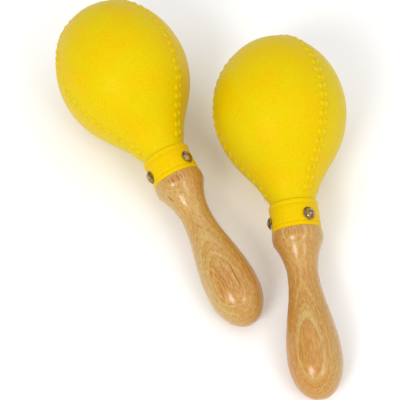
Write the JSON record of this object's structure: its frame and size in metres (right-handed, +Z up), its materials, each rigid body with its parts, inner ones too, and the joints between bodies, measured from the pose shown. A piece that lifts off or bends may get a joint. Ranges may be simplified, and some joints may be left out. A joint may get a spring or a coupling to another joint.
{
  "type": "pair of maracas",
  "caption": "Pair of maracas lying side by side: hollow pear-shaped yellow heads with raised stitched seams and tacked collars, on turned light-wood handles, with loose pellets inside.",
  "frame": {"origin": "on the table, under the middle of the pair's bounding box", "axes": "+Z up from the table, +Y from the handles towards the heads, +X to the right"},
  "size_m": [0.2156, 0.2978, 0.0982],
  "materials": {
    "shell": "matte yellow with a fine leathery grain",
    "collar": "matte yellow band",
    "wood": "clear lacquer over light wood with ringed grain",
    "tack": "antique bronze, polished",
    "pellet": "plain steel shot"
  },
  "bodies": {
    "left_maraca": {"left_handle": "wood", "left_collar": "collar", "left_head_panel_1": "shell", "left_head_panel_2": "shell", "left_head_panel_3": "shell", "left_tack_1": "tack", "left_tack_2": "tack", "left_tack_3": "tack"},
    "right_maraca": {"right_handle": "wood", "right_collar": "collar", "right_head_panel_1": "shell", "right_head_panel_2": "shell", "right_head_panel_3": "shell", "right_tack_1": "tack", "right_tack_2": "tack", "right_tack_3": "tack"},
    "left_pellet_01": {"left_pellet_01": "pellet"},
    "left_pellet_02": {"left_pellet_02": "pellet"},
    "left_pellet_03": {"left_pellet_03": "pellet"},
    "left_pellet_04": {"left_pellet_04": "pellet"},
    "left_pellet_05": {"left_pellet_05": "pellet"},
    "left_pellet_06": {"left_pellet_06": "pellet"},
    "left_pellet_07": {"left_pellet_07": "pellet"},
    "left_pellet_08": {"left_pellet_08": "pellet"},
    "left_pellet_09": {"left_pellet_09": "pellet"},
    "left_pellet_10": {"left_pellet_10": "pellet"},
    "left_pellet_11": {"left_pellet_11": "pellet"},
    "left_pellet_12": {"left_pellet_12": "pellet"},
    "left_pellet_13": {"left_pellet_13": "pellet"},
    "left_pellet_14": {"left_pellet_14": "pellet"},
    "left_pellet_15": {"left_pellet_15": "pellet"},
    "left_pellet_16": {"left_pellet_16": "pellet"},
    "left_pellet_17": {"left_pellet_17": "pellet"},
    "left_pellet_18": {"left_pellet_18": "pellet"},
    "left_pellet_19": {"left_pellet_19": "pellet"},
    "right_pellet_01": {"right_pellet_01": "pellet"},
    "right_pellet_02": {"right_pellet_02": "pellet"},
    "right_pellet_03": {"right_pellet_03": "pellet"},
    "right_pellet_04": {"right_pellet_04": "pellet"},
    "right_pellet_05": {"right_pellet_05": "pellet"},
    "right_pellet_06": {"right_pellet_06": "pellet"},
    "right_pellet_07": {"right_pellet_07": "pellet"},
    "right_pellet_08": {"right_pellet_08": "pellet"},
    "right_pellet_09": {"right_pellet_09": "pellet"},
    "right_pellet_10": {"right_pellet_10": "pellet"},
    "right_pellet_11": {"right_pellet_11": "pellet"},
    "right_pellet_12": {"right_pellet_12": "pellet"},
    "right_pellet_13": {"right_pellet_13": "pellet"},
    "right_pellet_14": {"right_pellet_14": "pellet"},
    "right_pellet_15": {"right_pellet_15": "pellet"},
    "right_pellet_16": {"right_pellet_16": "pellet"},
    "right_pellet_17": {"right_pellet_17": "pellet"},
    "right_pellet_18": {"right_pellet_18": "pellet"},
    "right_pellet_19": {"right_pellet_19": "pellet"}
  },
  "joints": [
    {"name": "lift_right_maraca", "type": "slide", "parent": "left_maraca", "child": "right_maraca", "axis": [0, 0, 1], "range_m": [0, 0.12]},
    {"name": "rattle_left_01", "type": "slide", "parent": "left_maraca", "child": "left_pellet_01", "axis": [0, 0, 1], "range_m": [0, 0.086]},
    {"name": "rattle_left_02", "type": "slide", "parent": "left_maraca", "child": "left_pellet_02", "axis": [0, 0, 1], "range_m": [0, 0.0855]},
    {"name": "rattle_left_03", "type": "slide", "parent": "left_maraca", "child": "left_pellet_03", "axis": [0, 0, 1], "range_m": [0, 0.086]},
    {"name": "rattle_left_04", "type": "slide", "parent": "left_maraca", "child": "left_pellet_04", "axis": [0, 0, 1], "range_m": [0, 0.085]},
    {"name": "rattle_left_05", "type": "slide", "parent": "left_maraca", "child": "left_pellet_05", "axis": [0, 0, 1], "range_m": [0, 0.0855]},
    {"name": "rattle_left_06", "type": "slide", "parent": "left_maraca", "child": "left_pellet_06", "axis": [0, 0, 1], "range_m": [0, 0.085]},
    {"name": "rattle_left_07", "type": "slide", "parent": "left_maraca", "child": "left_pellet_07", "axis": [0, 0, 1], "range_m": [0, 0.085]},
    {"name": "rattle_left_08", "type": "slide", "parent": "left_maraca", "child": "left_pellet_08", "axis": [0, 0, 1], "range_m": [0, 0.0825]},
    {"name": "rattle_left_09", "type": "slide", "parent": "left_maraca", "child": "left_pellet_09", "axis": [0, 0, 1], "range_m": [0, 0.0845]},
    {"name": "rattle_left_10", "type": "slide", "parent": "left_maraca", "child": "left_pellet_10", "axis": [0, 0, 1], "range_m": [0, 0.084]},
    {"name": "rattle_left_11", "type": "slide", "parent": "left_maraca", "child": "left_pellet_11", "axis": [0, 0, 1], "range_m": [0, 0.083]},
    {"name": "rattle_left_12", "type": "slide", "parent": "left_maraca", "child": "left_pellet_12", "axis": [0, 0, 1], "range_m": [0, 0.0845]},
    {"name": "rattle_left_13", "type": "slide", "parent": "left_maraca", "child": "left_pellet_13", "axis": [0, 0, 1], "range_m": [0, 0.082]},
    {"name": "rattle_left_14", "type": "slide", "parent": "left_maraca", "child": "left_pellet_14", "axis": [0, 0, 1], "range_m": [0, 0.083]},
    {"name": "rattle_left_15", "type": "slide", "parent": "left_maraca", "child": "left_pellet_15", "axis": [0, 0, 1], "range_m": [0, 0.083]},
    {"name": "rattle_left_16", "type": "slide", "parent": "left_maraca", "child": "left_pellet_16", "axis": [0, 0, 1], "range_m": [0, 0.083]},
    {"name": "rattle_left_17", "type": "slide", "parent": "left_maraca", "child": "left_pellet_17", "axis": [0, 0, 1], "range_m": [0, 0.0825]},
    {"name": "rattle_left_18", "type": "slide", "parent": "left_maraca", "child": "left_pellet_18", "axis": [0, 0, 1], "range_m": [0, 0.083]},
    {"name": "rattle_left_19", "type": "slide", "parent": "left_maraca", "child": "left_pellet_19", "axis": [0, 0, 1], "range_m": [0, 0.0815]},
    {"name": "rattle_right_01", "type": "slide", "parent": "right_maraca", "child": "right_pellet_01", "axis": [0, 0, 1], "range_m": [0, 0.086]},
    {"name": "rattle_right_02", "type": "slide", "parent": "right_maraca", "child": "right_pellet_02", "axis": [0, 0, 1], "range_m": [0, 0.085]},
    {"name": "rattle_right_03", "type": "slide", "parent": "right_maraca", "child": "right_pellet_03", "axis": [0, 0, 1], "range_m": [0, 0.0855]},
    {"name": "rattle_right_04", "type": "slide", "parent": "right_maraca", "child": "right_pellet_04", "axis": [0, 0, 1], "range_m": [0, 0.085]},
    {"name": "rattle_right_05", "type": "slide", "parent": "right_maraca", "child": "right_pellet_05", "axis": [0, 0, 1], "range_m": [0, 0.0855]},
    {"name": "rattle_right_06", "type": "slide", "parent": "right_maraca", "child": "right_pellet_06", "axis": [0, 0, 1], "range_m": [0, 0.085]},
    {"name": "rattle_right_07", "type": "slide", "parent": "right_maraca", "child": "right_pellet_07", "axis": [0, 0, 1], "range_m": [0, 0.085]},
    {"name": "rattle_right_08", "type": "slide", "parent": "right_maraca", "child": "right_pellet_08", "axis": [0, 0, 1], "range_m": [0, 0.082]},
    {"name": "rattle_right_09", "type": "slide", "parent": "right_maraca", "child": "right_pellet_09", "axis": [0, 0, 1], "range_m": [0, 0.084]},
    {"name": "rattle_right_10", "type": "slide", "parent": "right_maraca", "child": "right_pellet_10", "axis": [0, 0, 1], "range_m": [0, 0.084]},
    {"name": "rattle_right_11", "type": "slide", "parent": "right_maraca", "child": "right_pellet_11", "axis": [0, 0, 1], "range_m": [0, 0.083]},
    {"name": "rattle_right_12", "type": "slide", "parent": "right_maraca", "child": "right_pellet_12", "axis": [0, 0, 1], "range_m": [0, 0.0845]},
    {"name": "rattle_right_13", "type": "slide", "parent": "right_maraca", "child": "right_pellet_13", "axis": [0, 0, 1], "range_m": [0, 0.082]},
    {"name": "rattle_right_14", "type": "slide", "parent": "right_maraca", "child": "right_pellet_14", "axis": [0, 0, 1], "range_m": [0, 0.0835]},
    {"name": "rattle_right_15", "type": "slide", "parent": "right_maraca", "child": "right_pellet_15", "axis": [0, 0, 1], "range_m": [0, 0.083]},
    {"name": "rattle_right_16", "type": "slide", "parent": "right_maraca", "child": "right_pellet_16", "axis": [0, 0, 1], "range_m": [0, 0.0835]},
    {"name": "rattle_right_17", "type": "slide", "parent": "right_maraca", "child": "right_pellet_17", "axis": [0, 0, 1], "range_m": [0, 0.082]},
    {"name": "rattle_right_18", "type": "slide", "parent": "right_maraca", "child": "right_pellet_18", "axis": [0, 0, 1], "range_m": [0, 0.083]},
    {"name": "rattle_right_19", "type": "slide", "parent": "right_maraca", "child": "right_pellet_19", "axis": [0, 0, 1], "range_m": [0, 0.082]}
  ]
}
